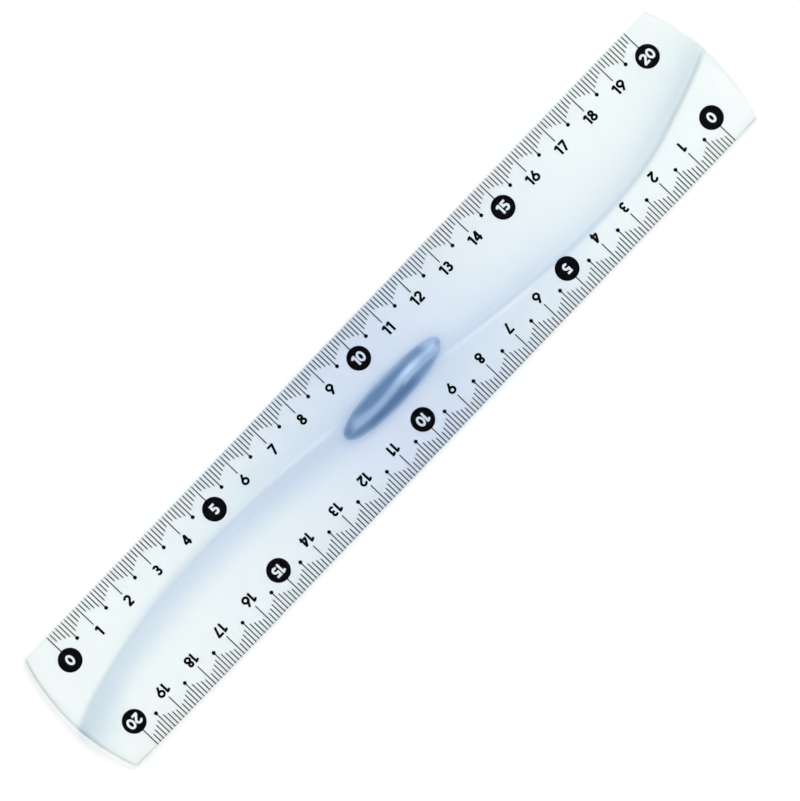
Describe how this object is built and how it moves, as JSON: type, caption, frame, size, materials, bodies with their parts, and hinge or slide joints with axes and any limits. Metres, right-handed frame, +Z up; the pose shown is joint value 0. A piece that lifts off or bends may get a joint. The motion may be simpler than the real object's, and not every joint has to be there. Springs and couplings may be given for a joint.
{
  "type": "drafting ruler",
  "caption": "Clear flat plastic ruler with bowed ends, thin straight scale edges, an S-shaped crest and a raised oval finger grip, for measuring and ruling lines.",
  "frame": {"origin": "middle of the flat underside, halfway along the ruler and halfway between its straight edges", "axes": "+X along the ruler, towards the 20 of the scale that reads upright; +Y across it, towards that scale; +Z up, out of the face with the crest and the grip"},
  "size_m": [0.2214, 0.0372, 0.006],
  "materials": {
    "clear_plastic": "clear, faintly blue-green, polished",
    "grip_plastic": "translucent steel blue, satin gloss"
  },
  "bodies": {
    "root": {"ruler_blade": "clear_plastic", "finger_grip": "grip_plastic"}
  },
  "joints": []
}
